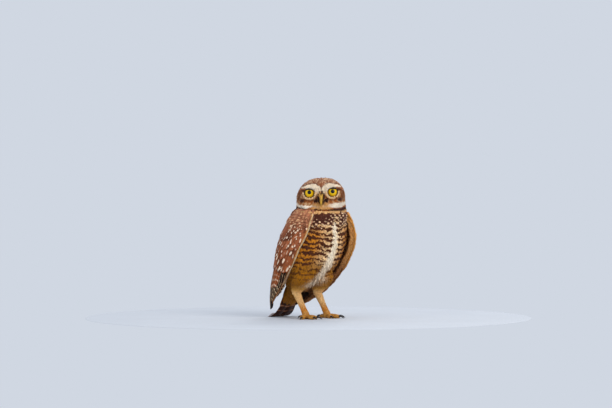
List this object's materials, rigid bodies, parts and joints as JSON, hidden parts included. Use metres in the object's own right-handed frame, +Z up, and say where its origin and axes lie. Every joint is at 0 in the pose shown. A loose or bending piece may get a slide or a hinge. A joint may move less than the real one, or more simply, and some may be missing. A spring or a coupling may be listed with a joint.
{
  "type": "burrowing owl",
  "caption": "Small long-legged owl standing upright with folded wings, its body turned and its face to the viewer; a still, life-size model that rests on its feet and laid tail.",
  "frame": {"origin": "on the floor under the middle of the whole bird's box", "axes": "+Z up; the bird's body faces -Y and +X is its own left; its face is turned to -X -Y"},
  "size_m": [0.1217, 0.1306, 0.201],
  "materials": {
    "plumage": "soft rufous-brown feathers with pale buff spots and streaks",
    "breast": "loose buff-white feathers barred with brown, mustard buff on the belly",
    "leg_feathers": "short sparse orange-buff feathers",
    "foot_skin": "dull yellow scaled skin",
    "eye": "clear wet gloss over a bright yellow iris and a black pupil",
    "bill": "satin yellow-grey horn",
    "claw": "satin black-brown horn"
  },
  "bodies": {
    "root": {"bill_lower": "bill", "bill_upper": "bill", "claw_left_hind": "claw", "claw_left_inner": "claw", "claw_left_middle": "claw", "claw_left_outer": "claw", "claw_right_hind": "claw", "claw_right_inner": "claw", "claw_right_middle": "claw", "claw_right_outer": "claw", "eye_left": "eye", "eye_right": "eye", "foot_left": "foot_skin", "foot_right": "foot_skin", "head": "plumage", "neck": "plumage", "shank_left": "leg_feathers", "shank_right": "leg_feathers", "tail": "plumage", "thigh_left": "leg_feathers", "thigh_right": "leg_feathers", "torso": "breast", "wing_left": "plumage", "wing_right": "plumage"}
  },
  "joints": []
}
